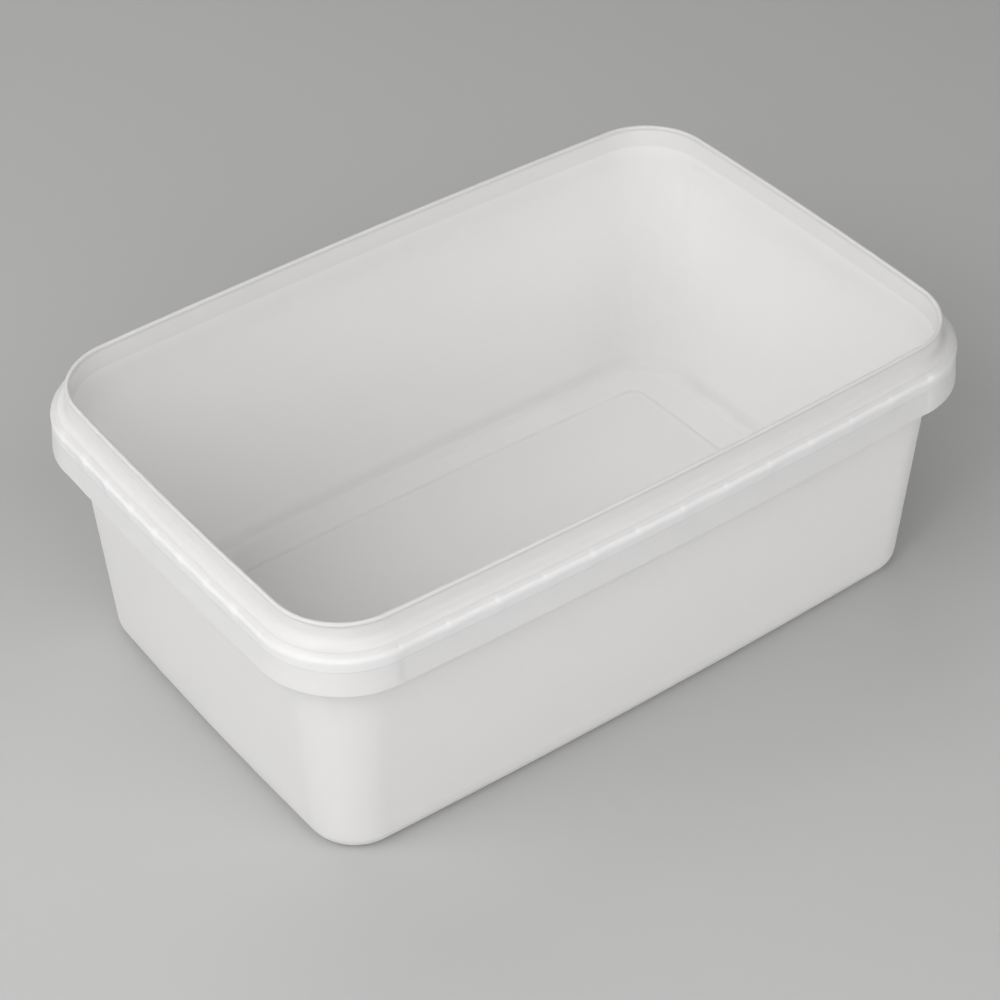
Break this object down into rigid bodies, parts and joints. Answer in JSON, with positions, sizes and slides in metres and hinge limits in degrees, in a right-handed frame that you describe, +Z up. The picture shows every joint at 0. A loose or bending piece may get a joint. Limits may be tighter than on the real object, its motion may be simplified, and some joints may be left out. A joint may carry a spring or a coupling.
{
  "type": "ice cream container",
  "caption": "Open rectangular ice cream tub in translucent white plastic, with rounded corners, tapered walls and a beaded rim with a skirt.",
  "frame": {"origin": "on the ground under the middle of the tub", "axes": "+X along the tub's long side, +Y across it, +Z up out of the open mouth"},
  "size_m": [0.274, 0.1804, 0.105],
  "materials": {
    "tub_plastic": "natural milky white polypropylene, satin walls with a glossier rim"
  },
  "bodies": {
    "root": {"tub": "tub_plastic"}
  },
  "joints": []
}
